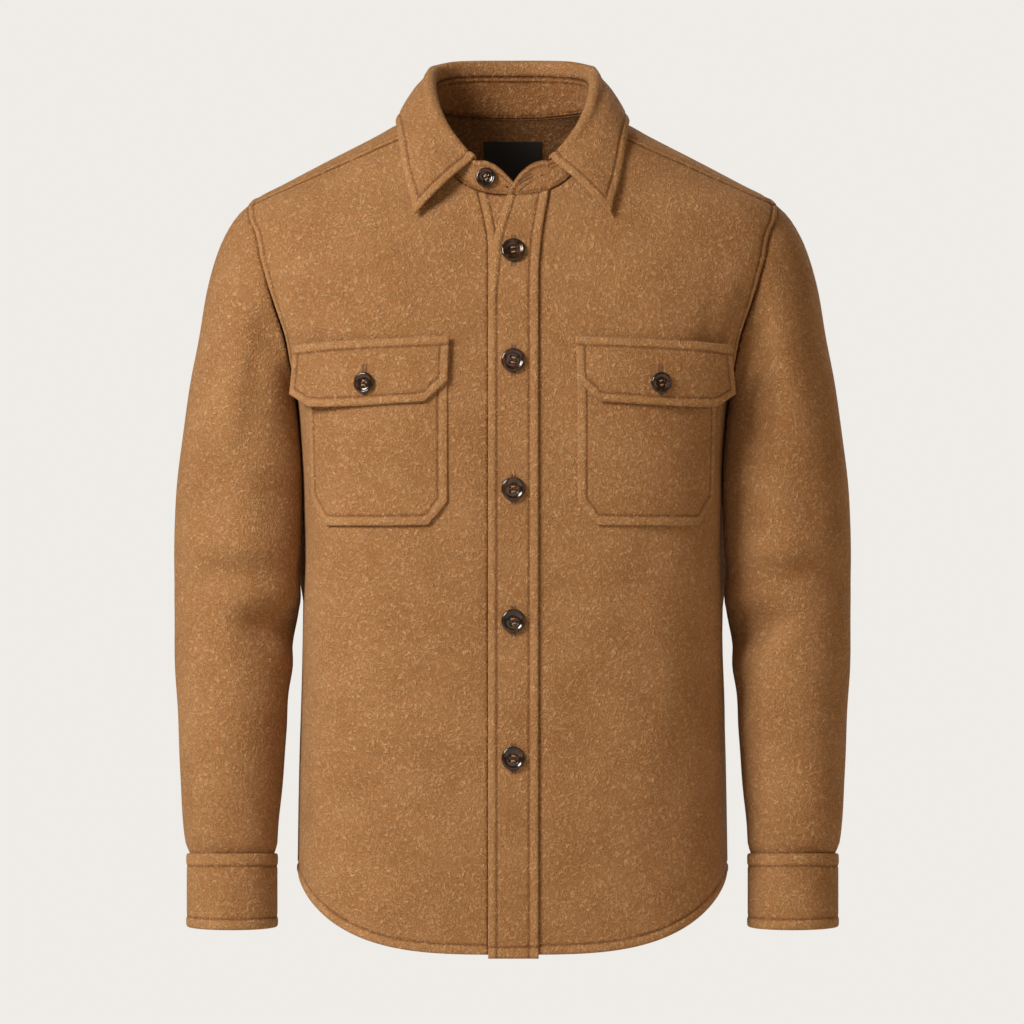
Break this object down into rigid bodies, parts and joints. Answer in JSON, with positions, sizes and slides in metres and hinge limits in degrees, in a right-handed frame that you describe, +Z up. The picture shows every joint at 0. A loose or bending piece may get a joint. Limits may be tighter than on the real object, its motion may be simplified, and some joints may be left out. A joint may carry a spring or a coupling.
{
  "type": "overshirt",
  "caption": "Button-front wool overshirt with a turned-down collar, two flap pockets and long cuffed sleeves, filled out as if worn, for a rigid clothing display.",
  "frame": {"origin": "middle of the neck at the height of the shoulders, where a hanger or a neck holds it", "axes": "+X to the wearer's left, -Y out of the front, +Z up"},
  "size_m": [0.5976, 0.266, 0.7906],
  "materials": {
    "wool_cloth": "felted wool, camel tan",
    "horn_button": "polished dark horn",
    "label": "woven, black, bare"
  },
  "bodies": {
    "root": {"front_left": "wool_cloth", "front_right": "wool_cloth", "back": "wool_cloth", "yoke": "wool_cloth", "placket_left": "wool_cloth", "placket_right": "wool_cloth", "collar_stand": "wool_cloth", "collar": "wool_cloth", "sleeve_left": "wool_cloth", "sleeve_right": "wool_cloth", "cuff_left": "wool_cloth", "cuff_right": "wool_cloth", "pocket_left": "wool_cloth", "pocket_right": "wool_cloth", "flap_left": "wool_cloth", "flap_right": "wool_cloth", "button_stand": "horn_button", "button_front_1": "horn_button", "button_front_2": "horn_button", "button_front_3": "horn_button", "button_front_4": "horn_button", "button_front_5": "horn_button", "button_pocket_left": "horn_button", "button_pocket_right": "horn_button", "button_cuff_left": "horn_button", "button_cuff_right": "horn_button", "label_neck": "label"}
  },
  "joints": []
}
